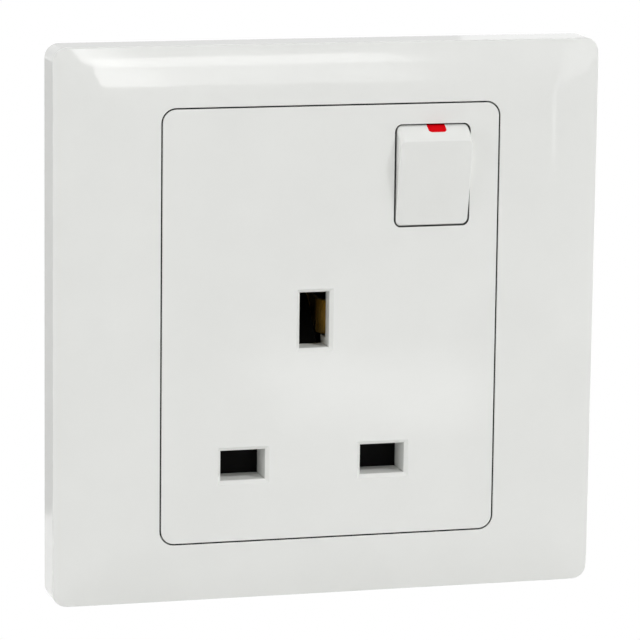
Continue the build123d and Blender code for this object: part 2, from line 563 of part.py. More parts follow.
# Plunger spring
with BuildPart() as plunger_spring:
    plunger_coil = BORE_END - PLUNGER_TOP - PLUNGER_WIRE
    start = ROCKER_FRONT.from_local_coords((0, 0, PLUNGER_TOP + PLUNGER_WIRE / 2))
    with BuildLine() as coil:
        Helix(
            pitch=plunger_coil / PLUNGER_TURNS,
            height=plunger_coil,
            radius=PLUNGER_RADIUS - PLUNGER_WIRE,
            center=start,
            direction=PLUNGER_AXIS.direction,
        )
    with BuildSketch(Plane(coil.line ^ 0)):
        Circle(PLUNGER_WIRE / 2)
    sweep(path=coil.line, is_frenet=True)

# Contact arm with the groove that rides on the knife edge
with BuildPart() as contact_arm:
    with BuildSketch(ARM_SIDE):
        rectangle(-ARM_SHORT_END, ARM_LONG_END, 0, ARM_THICKNESS)
        Circle(KNIFE_RADIUS + KNIFE_CLEARANCE, mode=Mode.SUBTRACT)
    extrude(amount=ARM_WIDTH / 2, both=True)

# Silver tip under the arm
with BuildPart() as moving_contact_tip:
    with BuildSketch(ARM_BACK):
        with Locations((0, TIP_REACH)):
            Circle(TIP_RADIUS)
    extrude(amount=TIP_THICKNESS)

# Fixed contact: strip from the line terminal to the switch
with BuildPart() as fixed_contact:
    with BuildSketch(FRONT.offset(STRIP_BACK)):
        rectangle(
            LINE_TERMINAL_X - TERMINAL_SIZE / 2,
            ROCKER_X + ARM_WIDTH / 2,
            FIXED_TIP_Z - STRIP_WIDTH / 2,
            FIXED_TIP_Z + STRIP_WIDTH / 2,
        )
    extrude(amount=SHEET)

# Domed silver tip on the fixed contact
with BuildPart() as fixed_contact_tip:
    with BuildSketch(ACROSS.offset(-FIXED_TIP_Z)):
        with BuildLine():
            tip_edge = ROCKER_X + TIP_RADIUS
            dome_foot = FIXED_TIP_FRONT - TIP_DOME
            Polyline((ROCKER_X, FIXED_TIP_FRONT), (ROCKER_X, STRIP_FRONT), (tip_edge, STRIP_FRONT))
            Line((tip_edge, STRIP_FRONT), (tip_edge, dome_foot))
            TangentArc((ROCKER_X, FIXED_TIP_FRONT), (tip_edge, dome_foot), tangent=(1, 0))
        make_face()
    revolve(axis=Axis((ROCKER_X, 0, FIXED_TIP_Z), (0, 1, 0)))

# Line contact: clip, strip and the knife edge under the switch arm
with BuildPart() as line_contact:
    with BuildSketch(UPRIGHT.offset(LINE_X)):
        with BuildLine():
            Polyline(*clip_points(PIN_ROW_Z, FACE_HEIGHT - CONTACT_DEPTH, LINE_CLIP_BASE))
            offset(amount=SHEET, kind=Kind.INTERSECTION, side=Side.RIGHT)
        make_face()
    extrude(amount=CLIP_WIDTH / 2, both=True)
    with BuildSketch(FRONT.offset(STRIP_BACK)):
        strip_low = PIN_ROW_Z + CLIP_LEAF
        strip_right = ROCKER_X + STRIP_WIDTH / 2
        rectangle(LINE_X - CLIP_WIDTH / 2, strip_right, strip_low, strip_low + STRIP_WIDTH)
        rectangle(strip_right - STRIP_WIDTH, strip_right, strip_low, ROCKER_Z + STRIP_WIDTH / 2)
    extrude(amount=SHEET)
    with BuildSketch(UPRIGHT.offset(ROCKER_X)):
        rectangle(ROCKER_Z - KNIFE_RADIUS, ROCKER_Z + KNIFE_RADIUS, STRIP_FRONT, ARM_HEIGHT)
        with Locations((ROCKER_Z, ARM_HEIGHT)):
            Circle(KNIFE_RADIUS)
    extrude(amount=STRIP_WIDTH / 2, both=True)

# Neutral contact: clip and strip to its terminal
with BuildPart() as neutral_contact:
    with BuildSketch(UPRIGHT.offset(NEUTRAL_X)):
        with BuildLine():
            Polyline(*clip_points(PIN_ROW_Z, FACE_HEIGHT - CONTACT_DEPTH, LINE_CLIP_BASE))
            offset(amount=SHEET, kind=Kind.INTERSECTION, side=Side.RIGHT)
        make_face()
    extrude(amount=CLIP_WIDTH / 2, both=True)
    with BuildSketch(FRONT.offset(STRIP_BACK)):
        strip_left = NEUTRAL_TERMINAL_X - STRIP_WIDTH / 2
        strip_top = NEUTRAL_TERMINAL_Z + TERMINAL_SIZE / 2
        rectangle(strip_left, NEUTRAL_X + CLIP_WIDTH / 2, strip_low, strip_low + STRIP_WIDTH)
        rectangle(strip_left, strip_left + STRIP_WIDTH, strip_low, strip_top)
    extrude(amount=SHEET)

# Earth contact: long clip and strip to its terminal
with BuildPart() as earth_contact:
    with BuildSketch(ACROSS.offset(-EARTH_CLIP_Z)):
        with BuildLine():
            Polyline(*clip_points(SOCKET_X, FACE_HEIGHT - EARTH_CONTACT_DEPTH, EARTH_CLIP_BASE))
            offset(amount=SHEET, kind=Kind.INTERSECTION, side=Side.RIGHT)
        make_face()
    extrude(amount=EARTH_CLIP_WIDTH / 2, both=True)
    with BuildSketch(FRONT.offset(STRIP_BACK)):
        strip_left = EARTH_TERMINAL_X - STRIP_WIDTH / 2
        rectangle(strip_left, SOCKET_X - CLIP_LEAF, EARTH_CLIP_FOOT, EARTH_CLIP_FOOT + STRIP_WIDTH)
        rectangle(strip_left, strip_left + STRIP_WIDTH, EARTH_CLIP_FOOT, TOP_TERMINAL_Z + TERMINAL_SIZE / 2)
    extrude(amount=SHEET)

# Terminal blocks: a wire bore, and a clamp screw's hole from the back
from_above = ACROSS.offset(-TOP_TERMINAL_Z)
from_side = UPRIGHT.offset(NEUTRAL_TERMINAL_X)
terminal_bores = (
    ("line_terminal", LINE_TERMINAL, from_above, (LINE_TERMINAL_X, WIRE_HEIGHT)),
    ("earth_terminal", EARTH_TERMINAL, from_above, (EARTH_TERMINAL_X, WIRE_HEIGHT)),
    ("neutral_terminal", NEUTRAL_TERMINAL, from_side, (NEUTRAL_TERMINAL_Z, WIRE_HEIGHT)),
)
terminals = []
for terminal_name, place, bore_plane, bore in terminal_bores:
    with BuildPart() as terminal:
        with BuildSketch(FRONT.offset(FLOOR)):
            with Locations(place):
                Rectangle(TERMINAL_SIZE, TERMINAL_SIZE)
        extrude(amount=STRIP_BACK - FLOOR)
        with BuildSketch(FRONT.offset(FLOOR)):
            with Locations(place):
                Circle(CLAMP_RADIUS + CLAMP_CLEARANCE)
        extrude(amount=WIRE_HEIGHT - FLOOR, mode=Mode.SUBTRACT)
        with BuildSketch(bore_plane):
            with Locations(bore):
                Circle(WIRE_RADIUS)
        extrude(amount=TERMINAL_SIZE, both=True, mode=Mode.SUBTRACT)
    terminal.part.label = terminal_name
    terminals.append(terminal.part)

# Clamp screws, backed out of the wire bores, with slotted heads
with BuildPart() as terminal_screws:
    with BuildSketch(FRONT.offset(HOUSING_BACK + CLAMP_HEAD)):
        with Locations(*TERMINALS):
            Circle(CLAMP_RADIUS)
    extrude(amount=WIRE_HEIGHT - WIRE_RADIUS - HOUSING_BACK - CLAMP_HEAD)
    with BuildSketch(FRONT.offset(HOUSING_BACK)):
        with Locations(*TERMINALS):
            Circle(CLAMP_HEAD_RADIUS)
    extrude(amount=CLAMP_HEAD)
    with BuildSketch(FRONT.offset(HOUSING_BACK)):
        with Locations(*TERMINALS):
            Rectangle(CLAMP_SLOT_WIDTH, 2 * CLAMP_HEAD_RADIUS)
    extrude(amount=CLAMP_SLOT_DEPTH, mode=Mode.SUBTRACT)

# Screws that hold the rear housing, with cross recesses
with BuildPart() as housing_screws:
    with BuildSketch(FRONT.offset(-SCREW_SEAT)):
        with Locations(*BOSSES):
            Circle(SCREW_RADIUS)
    extrude(amount=SCREW_SEAT + PILOT_DEPTH - SCREW_CLEARANCE)
    with BuildSketch(FRONT.offset(-SCREW_SEAT)):
        with Locations(*BOSSES):
            Circle(SCREW_HEAD_RADIUS)
    extrude(amount=-SCREW_HEAD)
    with BuildSketch(FRONT.offset(-SCREW_SEAT - SCREW_HEAD)):
        with Locations(*BOSSES):
            Rectangle(SCREW_RECESS_LENGTH, SCREW_RECESS_WIDTH)
            Rectangle(SCREW_RECESS_WIDTH, SCREW_RECESS_LENGTH)
    extrude(amount=SCREW_RECESS_DEPTH, mode=Mode.SUBTRACT)

# Rear housing: tray with pillars, barrier walls, strip ribs and terminal wells
with BuildPart() as rear_housing:
    with BuildSketch(FRONT):
        RectangleRounded(HOUSING_WIDTH, HOUSING_HEIGHT, HOUSING_CORNER)
    extrude(amount=HOUSING_BACK)
    fillet(rear_housing.faces().sort_by(Axis.Y)[-1].edges(), HOUSING_ROUND)
    with BuildSketch(FRONT):
        RectangleRounded(2 * HOUSING_INSIDE_X, 2 * HOUSING_INSIDE_Z, HOUSING_CORNER - HOUSING_WALL)
    extrude(amount=FLOOR, mode=Mode.SUBTRACT)
    # Lip that sits in the front plate's rebate
    with BuildSketch(FRONT):
        RectangleRounded(HOUSING_WIDTH, HOUSING_HEIGHT, HOUSING_CORNER)
        RectangleRounded(CAVITY_WIDTH, CAVITY_HEIGHT, CAVITY_CORNER, mode=Mode.SUBTRACT)
    extrude(amount=HOUSING_REBATE)
    # Pillars under the front plate's bosses
    with BuildSketch(FRONT.offset(FLOOR)):
        with Locations(*BOSSES):
            Circle(BOSS_RADIUS)
    extrude(amount=-FLOOR)
    # Barrier walls between the pins, which also back the shutter
    with BuildSketch(FRONT.offset(FLOOR)):
        for side in (1, -1):
            with Locations((SOCKET_X + side * (HUB_WIDTH / 2 - RIB), -HOUSING_INSIDE_Z)):
                Rectangle(RIB, HOUSING_INSIDE_Z + HUB_TOP, align=(Align.CENTER, Align.MIN))
    extrude(amount=SHUTTER_BACK - SHUTTER_CLEARANCE - FLOOR)
    # Ribs under the strips and the fixed contact
    with BuildSketch(FRONT.offset(FLOOR)):
        rectangle(ROCKER_X - RIB / 2, ROCKER_X + RIB / 2, strip_low, ROCKER_Z)
        rectangle(ROCKER_X - RIB, ROCKER_X + RIB, FIXED_TIP_Z - RIB, HOUSING_INSIDE_Z)
        rectangle(EARTH_TERMINAL_X - RIB / 2, EARTH_TERMINAL_X + RIB / 2, EARTH_CLIP_FOOT, TOP_TERMINAL_Z)
        rectangle(
            NEUTRAL_TERMINAL_X - RIB / 2, NEUTRAL_TERMINAL_X + RIB / 2, strip_low, NEUTRAL_TERMINAL_Z
        )
        for place in TERMINALS:
            with Locations(place):
                Rectangle(
                    TERMINAL_SIZE + 2 * TERMINAL_CLEARANCE + 2 * RIB,
                    TERMINAL_SIZE + 2 * TERMINAL_CLEARANCE + 2 * RIB,
                )
        for place in TERMINALS:
            with Locations(place):
                Rectangle(
                    TERMINAL_SIZE + 2 * TERMINAL_CLEARANCE,
                    TERMINAL_SIZE + 2 * TERMINAL_CLEARANCE,
                    mode=Mode.SUBTRACT,
                )
    extrude(amount=STRIP_BACK - FLOOR)
    # Blocks under the two lower clips
    with BuildSketch(FRONT.offset(FLOOR)):
        with Locations((LINE_X, PIN_ROW_Z), (NEUTRAL_X, PIN_ROW_Z)):
            Rectangle(CLIP_WIDTH, PIN_THICKNESS + 2 * SHEET)
    extrude(amount=LINE_CLIP_BASE - SHEET - FLOOR)
    # Screw holes with deep wells, clamp screw holes and wire windows
    with BuildSketch(FRONT):
        with Locations(*BOSSES):
            Circle(SCREW_RADIUS + SCREW_CLEARANCE)
    extrude(amount=HOUSING_BACK, mode=Mode.SUBTRACT)
    with BuildSketch(FRONT.offset(-SCREW_SEAT)):
        with Locations(*BOSSES):
            Circle(SCREW_HEAD_RADIUS + SCREW_CLEARANCE)
    extrude(amount=HOUSING_BACK + SCREW_SEAT, mode=Mode.SUBTRACT)
    with BuildSketch(FRONT.offset(HOUSING_BACK)):
        with Locations(*TERMINALS):
            Circle(CLAMP_HEAD_RADIUS + SCREW_CLEARANCE)
    extrude(amount=HOUSING_FLOOR, mode=Mode.SUBTRACT)
    with BuildSketch(ACROSS.offset(-TOP_TERMINAL_Z)):
        with Locations((LINE_TERMINAL_X, WIRE_HEIGHT), (EARTH_TERMINAL_X, WIRE_HEIGHT)):
            Rectangle(WIRE_WINDOW, WIRE_WINDOW)
    extrude(amount=-HOUSING_HEIGHT / 2, mode=Mode.SUBTRACT)
    with BuildSketch(UPRIGHT.offset(NEUTRAL_TERMINAL_X)):
        with Locations((NEUTRAL_TERMINAL_Z, WIRE_HEIGHT)):
            Rectangle(WIRE_WINDOW, WIRE_WINDOW)
    extrude(amount=-HOUSING_WIDTH / 2, mode=Mode.SUBTRACT)

# Labels and files
surround_frame.part.label = "surround_frame"
front_plate.part.label = "front_plate"
rear_housing.part.label = "rear_housing"
shutter.part.label = "shutter"
shutter_spring.part.label = "shutter_spring"
rocker.part.label = "rocker"
on_mark.part.label = "on_mark"
plunger.part.label = "plunger"
plunger_spring.part.label = "plunger_spring"
contact_arm.part.label = "contact_arm"
moving_contact_tip.part.label = "moving_contact_tip"
fixed_contact.part.label = "fixed_contact"
fixed_contact_tip.part.label = "fixed_contact_tip"
line_contact.part.label = "line_contact"
neutral_contact.part.label = "neutral_contact"
earth_contact.part.label = "earth_contact"
terminal_screws.part.label = "terminal_screws"
housing_screws.part.label = "housing_screws"

os.makedirs("parts", exist_ok=True)
export_step(surround_frame.part, "parts/surround_frame.step")
export_step(front_plate.part, "parts/front_plate.step")
export_step(rear_housing.part, "parts/rear_housing.step")
export_step(shutter.part, "parts/shutter.step")
export_step(shutter_spring.part, "parts/shutter_spring.step")
export_step(rocker.part, "parts/rocker.step")
export_step(on_mark.part, "parts/on_mark.step")
export_step(plunger.part, "parts/plunger.step")
export_step(plunger_spring.part, "parts/plunger_spring.step")
export_step(contact_arm.part, "parts/contact_arm.step")
export_step(moving_contact_tip.part, "parts/moving_contact_tip.step")
export_step(fixed_contact.part, "parts/fixed_contact.step")
export_step(fixed_contact_tip.part, "parts/fixed_contact_tip.step")
export_step(line_contact.part, "parts/line_contact.step")
export_step(neutral_contact.part, "parts/neutral_contact.step")
export_step(earth_contact.part, "parts/earth_contact.step")
export_step(terminal_screws.part, "parts/terminal_screws.step")
export_step(housing_screws.part, "parts/housing_screws.step")
for terminal in terminals:
    export_step(terminal, f"parts/{terminal.label}.step")
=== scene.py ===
# %% [markdown]
# # A switched wall socket in a white studio
# The object is a one-gang switched socket: a clip-on surround, a panel with three pin slots, a rocker and, behind them,
# the shutter, contacts and terminals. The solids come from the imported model, already in place and in metres. They could
# be modelled again here, but then the two models would drift apart, so this lesson only dresses them and lights them.

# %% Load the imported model
import math

import bpy
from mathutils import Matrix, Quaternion, Vector

MM = 0.001  # m

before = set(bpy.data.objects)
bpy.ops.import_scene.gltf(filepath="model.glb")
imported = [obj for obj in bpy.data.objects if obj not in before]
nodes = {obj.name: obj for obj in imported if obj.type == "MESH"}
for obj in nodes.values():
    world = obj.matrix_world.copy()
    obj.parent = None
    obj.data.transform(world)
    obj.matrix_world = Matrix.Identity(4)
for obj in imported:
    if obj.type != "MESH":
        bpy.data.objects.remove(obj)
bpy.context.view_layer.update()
scene = bpy.context.scene
scene.view_settings.view_transform = "Standard"

# %% [markdown]
# ## Colours and nodes
# Colours are written as sRGB hex, the way a paint chart gives them, but shaders work in linear light, so one function
# converts them. Nodes could be made by a function for each kind; a single small one that sets values and joins links
# is shorter and reads the same everywhere.


# %% Colour and node helpers
def linear(hex_colour):
    """Linear RGBA of an sRGB hex colour, by the two parts of the sRGB curve."""
    values = [int(hex_colour[i : i + 2], 16) / 255 for i in (1, 3, 5)]
    return [v / 12.92 if v <= 0.04045 else ((v + 0.055) / 1.055) ** 2.4 for v in values] + [1.0]


def node(tree, kind, values=(), links=(), **settings):
    """Add a shader node, set its settings and socket values, and join its links."""
    made = tree.nodes.new("ShaderNode" + kind)
    for name, setting in settings.items():
        setattr(made, name, setting)
    for socket, value in dict(values).items():
        made.inputs[socket].default_value = value
    for socket, source in dict(links).items():
        tree.links.new(source, made.inputs[socket])
    return made


def new_material(name):
    """Empty node material, its tree and the object's own coordinates in metres."""
    material = bpy.data.materials.new(name)
    material.use_nodes = True
    tree = material.node_tree
    tree.nodes.clear()
    return material, tree, node(tree, "TexCoord").outputs["Object"]


print("helpers ready; mid grey in linear light:", round(linear("#808080")[0], 4))

# %% [markdown]
# ## Steps of a finish
# No real face is quite even: its colour drifts, its shine wanders and its surface waves. Painted pictures could show
# that, but they need unwrapped faces and blur close up. Noise in the object's own coordinates needs neither, so every
# finish below is built from the same few steps: a noise, a colour between two tones, a range and a bump.

# %% Steps that the finishes share
NOISE_SPAN = (0.3, 0.7)  # nearly all values of a noise lie between these


def per_mm(size):
    """Texture scale that gives features of this size in millimetres."""
    return 1 / (size * MM)


def noise(tree, place, size, octaves):
    """Noise with features of this size in millimetres."""
    return node(tree, "TexNoise", {"Scale": per_mm(size), "Detail": octaves}, {"Vector": place}).outputs["Fac"]


def between(tree, value, tones, span):
    """Colour that goes from the first tone to the second while the value crosses a span."""
    made = node(tree, "ValToRGB", links={"Fac": value})
    for element, tone, position in zip(made.color_ramp.elements, tones, span):
        element.color = linear(tone)
        element.position = position
    return made.outputs["Color"]


def ranged(tree, value, span, result):
    """Value mapped from one span to another and held at the ends."""
    ends = {"From Min": span[0], "From Max": span[1], "To Min": result[0], "To Max": result[1]}
    return node(tree, "MapRange", ends, {"Value": value}).outputs["Result"]


def wandering(tree, value, roughness, share):
    """Roughness that wanders by a share of itself."""
    return ranged(tree, value, NOISE_SPAN, (roughness * (1 - share), roughness * (1 + share)))


def bumped(tree, value, height, under=None):
    """Normal of a bump of this height in millimetres, over another bump if one is given."""
    links = {"Height": value}
    if under is not None:
        links["Normal"] = under
    return node(tree, "Bump", {"Strength": 1.0, "Distance": height * MM}, links).outputs["Normal"]


def surfaced(tree, values, colour, roughness, normal):
    """Shader of a finish, joined to the material's surface."""
    links = {"Base Color": colour, "Roughness": roughness, "Normal": normal}
    shader = node(tree, "BsdfPrincipled", values, links)
    node(tree, "OutputMaterial", links={"Surface": shader.outputs["BSDF"]})


print("steps ready; features of 1 mm have a scale of", round(per_mm(1)))

# %% [markdown]
# ## Moulded plastics
# The surround, the panel and the rocker are white polycarbonate from a polished mould: a clean gloss with a very slight
# waviness, as where the melt shrank over the ribs. The housing and the shutter come from spark-eroded moulds, which
# leave an even fine grain and a matt face. All of them are one recipe with other numbers: a slow mottle in the
# colour, a roughness that wanders a little, and a bump made of a long wave and a fine grain. White plastic in a render
# throws more light into a gap of 0.3 mm than the real socket shows, so shade is painted into the colour: it falls off
# where another face stands closer than half a millimetre.

# %% Moulded plastic recipe
MOTTLE_SIZE, SMEAR_SIZE = 14.0, 5.0  # mm
MOTTLE_OCTAVES, SMEAR_OCTAVES, WAVE_OCTAVES, GRAIN_OCTAVES = 3.0, 4.0, 1.0, 2.0
PLASTIC_WANDER = 0.15  # share of the roughness
PAINTED_SHADE_REACH = 0.5  # mm, within which another face darkens the colour with painted shade
PAINTED_SHADE_OPENING = (0.25, 0.6)  # shares of open air at which the painted shade is darkest and at which none shows
PAINTED_SHADE_DARKEST = 0.03  # what the painted shade leaves of the colour in the darkest seam
PAINTED_SHADE_SAMPLES = 8


def moulded_plastic(name, tones, ior, gloss_level, roughness, wave, grain):
    """Plastic with a mottle, painted shade in narrow gaps, a wandering roughness, and waves and a grain given as
    (length, height) in mm.
    """
    material, tree, place = new_material(name)
    colour = between(tree, noise(tree, place, MOTTLE_SIZE, MOTTLE_OCTAVES), tones, NOISE_SPAN)
    gloss = wandering(tree, noise(tree, place, SMEAR_SIZE, SMEAR_OCTAVES), roughness, PLASTIC_WANDER)
    waves = bumped(tree, noise(tree, place, wave[0], WAVE_OCTAVES), wave[1])
    normal = bumped(tree, noise(tree, place, grain[0], GRAIN_OCTAVES), grain[1], waves)
    # painted shade: the colour darkens where another face stands within half a millimetre, as shade in a gap would
    open_air = node(tree, "AmbientOcclusion", {"Distance": PAINTED_SHADE_REACH * MM}, samples=PAINTED_SHADE_SAMPLES)
    painted_shade = ranged(tree, open_air.outputs["AO"], PAINTED_SHADE_OPENING, (PAINTED_SHADE_DARKEST, 1.0))
    painted_shade_colour = node(tree, "VectorMath", links={"Vector": colour, "Scale": painted_shade}, operation="SCALE")
    surfaced(tree, {"IOR": ior, "Specular IOR Level": gloss_level}, painted_shade_colour.outputs["Vector"], gloss, normal)
    return material


# Polished polycarbonate: waves 6 mm long and under a micrometre high, no visible grain
WHITE_GLOSS = moulded_plastic(
    "polycarbonate_white_gloss",
    tones=("#F5F6F3", "#F8F9F6"),
    ior=1.58,
    gloss_level=0.5,
    roughness=0.07,
    wave=(6.0, 0.0008),
    grain=(0.6, 0.00005),
)
# Glass-filled polyamide from a spark-eroded mould: grain of 0.25 mm, about as fine as the render can show
HOUSING_MATT = moulded_plastic(
    "polyamide_housing_matt",
    tones=("#CFCDC5", "#D8D6CE"),
    ior=1.53,
    gloss_level=0.5,
    roughness=0.46,
    wave=(9.0, 0.004),
    grain=(0.25, 0.004),
)
# Black polybutylene from the same kind of mould
SHUTTER_BLACK = moulded_plastic(
    "polybutylene_black_matt",
    tones=("#030303", "#060606"),
    ior=1.55,
    gloss_level=0.05,
    roughness=0.55,
    wave=(9.0, 0.003),
    grain=(0.25, 0.004),
)
# Red acrylic-styrene inlay, satin
MARK_RED = moulded_plastic(
    "styrene_red_satin",
    tones=("#E20310", "#E80412"),
    ior=1.55,
    gloss_level=0.02,
    roughness=0.35,
    wave=(4.0, 0.001),
    grain=(0.6, 0.00005),
)
# Natural acetal, satin, for the sliding plunger
PLUNGER_ACETAL = moulded_plastic(
    "acetal_natural_satin",
    tones=("#E4E2D9", "#EBE9E1"),
    ior=1.48,
    gloss_level=0.5,
    roughness=0.30,
    wave=(5.0, 0.002),
    grain=(0.3, 0.002),
)
PLASTICS = (WHITE_GLOSS, HOUSING_MATT, SHUTTER_BLACK, MARK_RED, PLUNGER_ACETAL)
print("plastics:", [plastic.name for plastic in PLASTICS])

# %% [markdown]
# ## Metals
# The clips and terminals are rolled brass, the screws zinc-plated steel, the springs drawn steel and the switch tips
# silver. What tells them apart is colour and direction: rolling and drawing leave fine lines along the strip, zinc is
# cloudy. One recipe stretches a noise along a direction for the lines and adds a slow cloud for the tarnish.

# %% Worked metal recipe
TARNISH_SPAN = (0.35, 0.65)  # noise values over which the tarnish fades
CLOUD_OCTAVES, LINE_OCTAVES = 4.0, 3.0
METAL_WANDER = 0.3  # share of the roughness


def worked_metal(name, tones, roughness, line_size, line_height, cloud):
    """Metal with a tarnish cloud and fine lines; line_size is three feature sizes in mm, long along the lines."""
    material, tree, place = new_material(name)
    colour = between(tree, noise(tree, place, cloud, CLOUD_OCTAVES), tones, TARNISH_SPAN)
    stretch = node(tree, "Mapping", {"Scale": [per_mm(size) for size in line_size]}, {"Vector": place})
    lines = node(tree, "TexNoise", {"Scale": 1.0, "Detail": LINE_OCTAVES}, {"Vector": stretch.outputs["Vector"]})
    gloss = wandering(tree, lines.outputs["Fac"], roughness, METAL_WANDER)
    normal = bumped(tree, lines.outputs["Fac"], line_height)
    surfaced(tree, {"Metallic": 1.0}, colour, gloss, normal)
    return material


# Rolled brass: lines 0.12 mm apart along Z, with a brown haze
BRASS = worked_metal(
    "brass_rolled",
    tones=("#BFA45F", "#D6BD80"),
    roughness=0.30,
    line_size=(0.12, 0.12, 6.0),
    line_height=0.002,
    cloud=4.0,
)
# Bright zinc plate: cloudy, the same in every direction
ZINC = worked_metal(
    "steel_zinc_plated",
    tones=("#B4B7BB", "#C9CBCC"),
    roughness=0.28,
    line_size=(0.4, 0.4, 0.4),
    line_height=0.002,
    cloud=1.5,
)
# Drawn spring wire
SPRING_STEEL = worked_metal(
    "steel_spring_drawn",
    tones=("#8E9196", "#A5A8AC"),
    roughness=0.26,
    line_size=(0.1, 0.1, 1.5),
    line_height=0.001,
    cloud=2.0,
)
# Silver contact alloy, coined
SILVER = worked_metal(
    "silver_coined",
    tones=("#CFCBC2", "#E2DFD8"),
    roughness=0.24,
    line_size=(0.2, 0.2, 0.2),
    line_height=0.001,
    cloud=0.8,
)
METALS = (BRASS, ZINC, SPRING_STEEL, SILVER)
print("metals:", [metal.name for metal in METALS])

# %% [markdown]
# ## Dressing the solids
# On the real socket each piece is moulded or stamped from one stuff. Every solid already carries one material slot, so
# a material is set in its object's slot. It could be put on the mesh instead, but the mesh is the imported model's own
# and is left alone.

# %% Materials on the solids
FINISHES = {
    WHITE_GLOSS: ("surround_frame", "front_plate", "rocker"),
    HOUSING_MATT: ("rear_housing",),
    SHUTTER_BLACK: ("shutter",),
    MARK_RED: ("on_mark",),
    PLUNGER_ACETAL: ("plunger",),
    BRASS: (
        "line_contact",
        "neutral_contact",
        "earth_contact",
        "fixed_contact",
        "contact_arm",
        "line_terminal",
        "earth_terminal",
        "neutral_terminal",
    ),
    ZINC: ("terminal_screws", "housing_screws"),
    SPRING_STEEL: ("shutter_spring", "plunger_spring"),
    SILVER: ("moving_contact_tip", "fixed_contact_tip"),
}
for material, names in FINISHES.items():
    for name in names:
        nodes[name].material_slots[0].material = material
print("dressed:", sum(len(names) for names in FINISHES.values()), "of", len(nodes))

# %% [markdown]
# ## Pale room
# Round the object there is only white, as on a page of a catalogue. A plain white sky alone would light it from every
# side and wash its form out. So the sky shows plain white to the camera and in reflections, while it lights the object
# only as much as a pale room would.

# %% Sky of the pale room
WHITE = linear("#FFFFFF")
ROOM_LIGHT = 0.055  # strength of the sky as soft light


def seen_directly(tree):
    """1 for camera, mirror and see-through rays, 0 for those that carry soft light."""
    rays = node(tree, "LightPath").outputs
    first = node(tree, "Math", links={0: rays["Is Camera Ray"], 1: rays["Is Glossy Ray"]}, operation="MAXIMUM")
    both = node(tree, "Math", links={0: first.outputs[0], 1: rays["Is Transmission Ray"]}, operation="MAXIMUM")
    return both.outputs[0]


world = bpy.data.worlds.new("pale_room")
scene.world = world
world.use_nodes = True
sky = world.node_tree
sky.nodes.clear()
soft = node(sky, "Background", {"Color": WHITE, "Strength": ROOM_LIGHT})
plain = node(sky, "Background", {"Color": WHITE, "Strength": 1.0})
shown = node(sky, "MixShader", links={0: seen_directly(sky), 1: soft.outputs[0], 2: plain.outputs[0]})
node(sky, "OutputWorld", links={"Surface": shown.outputs[0]})
print("sky:", world.name, "with a soft light of", ROOM_LIGHT)

# %% [markdown]
# ## Floor
# A wall socket has no place on a table, so it hangs in the air above a pale floor, low enough that its shadow stays
# soft and out of the main picture. Away from that shadow the floor shows the same plain white as the sky, so no line
# parts the two.

# %% White floor
FLOOR_DROP = 0.25  # m below the plate's centre
FLOOR_SIZE = 14.0  # m
SHADOW_REACH = (0.25, 0.6)  # m from the middle, where the shadow starts to fade and where it is gone

bpy.ops.mesh.primitive_plane_add(size=FLOOR_SIZE, location=(0, 0, -FLOOR_DROP))
floor = bpy.context.object
floor.name = "floor"
paint, tree, place = new_material("floor_matt_paint")
distance = node(tree, "VectorMath", links={0: place}, operation="LENGTH")
away = ranged(tree, distance.outputs["Value"], SHADOW_REACH, (0.0, 1.0))
white = node(tree, "Math", links={0: away, 1: seen_directly(tree)}, operation="MULTIPLY")
matt = node(tree, "BsdfDiffuse", {"Color": linear("#FCFCFB")})
clean = node(tree, "Emission", {"Color": WHITE, "Strength": 1.0})
surface = node(tree, "MixShader", links={0: white.outputs[0], 1: matt.outputs[0], 2: clean.outputs[0]})
node(tree, "OutputMaterial", links={"Surface": surface.outputs[0]})
floor.data.materials.append(paint)
print("floor", FLOOR_SIZE, "m wide,", FLOOR_DROP, "m below the plate's centre")

# %% [markdown]
# ## Places round the object
# A photographer says where a lamp stands by its angle round the object and its height over it. Bare coordinates could
# say that too, but angles can be read from the shadows and the reflections in a picture. So lamps, cards and the camera
# are all placed by azimuth, elevation and distance, and turned to what they serve.


# %% Placing by angles
def direction(azimuth, elevation):
    """Unit vector from the object; azimuth 0 is the front, 90 the right-hand side."""
    a, e = math.radians(azimuth), math.radians(elevation)
    return Vector((math.sin(a) * math.cos(e), -math.cos(a) * math.cos(e), math.sin(e)))


def aimed(made, centre, azimuth, elevation, distance):
    """Put an object round a centre and turn its -Z side, where lamps shine and cameras look, to it."""
    toward = direction(azimuth, elevation)
    made.location = centre + toward * distance
    made.rotation_mode = "QUATERNION"
    made.rotation_quaternion = toward.to_track_quat("Z", "Y")


def lamp(name, centre, distance, azimuths, elevations, radiance, mirrored):
    """Rectangular lamp that fills a span of azimuths and elevations; radiance 1 looks white in a mirror."""
    data = bpy.data.lights.new(name, "AREA")
    data.shape = "RECTANGLE"
    spans = [math.radians(span[1] - span[0]) / 2 for span in (azimuths, elevations)]
    data.size, data.size_y = [2 * distance * math.tan(span) for span in spans]
    data.energy = radiance * math.pi * data.size * data.size_y
    made = bpy.data.objects.new(name, data)
    aimed(made, centre, sum(azimuths) / 2, sum(elevations) / 2, distance)
    made.visible_camera = False
    made.visible_glossy = mirrored
    scene.collection.objects.link(made)


print("azimuth 45, elevation 45 lies toward", [round(v, 2) for v in direction(45, 45)])

# %% [markdown]
# ## Lights
# The picture shows a soft room light and one small lamp at the upper right: it draws a thin shadow left of the rocker
# and lights the front of the slots' floors. So there is a small key, a dim softbox, and wide panels for pale walls and
# a ceiling, all kept out of reflections. The top border mirrors a window: a bright left part, a narrow right part and
# a bar across, so four panels stand in front of it, a fifth makes the streak on the right border, and two low ones
# make the faint patches on the flat face. One sky picture could do all that, but lamps can be set one by one.

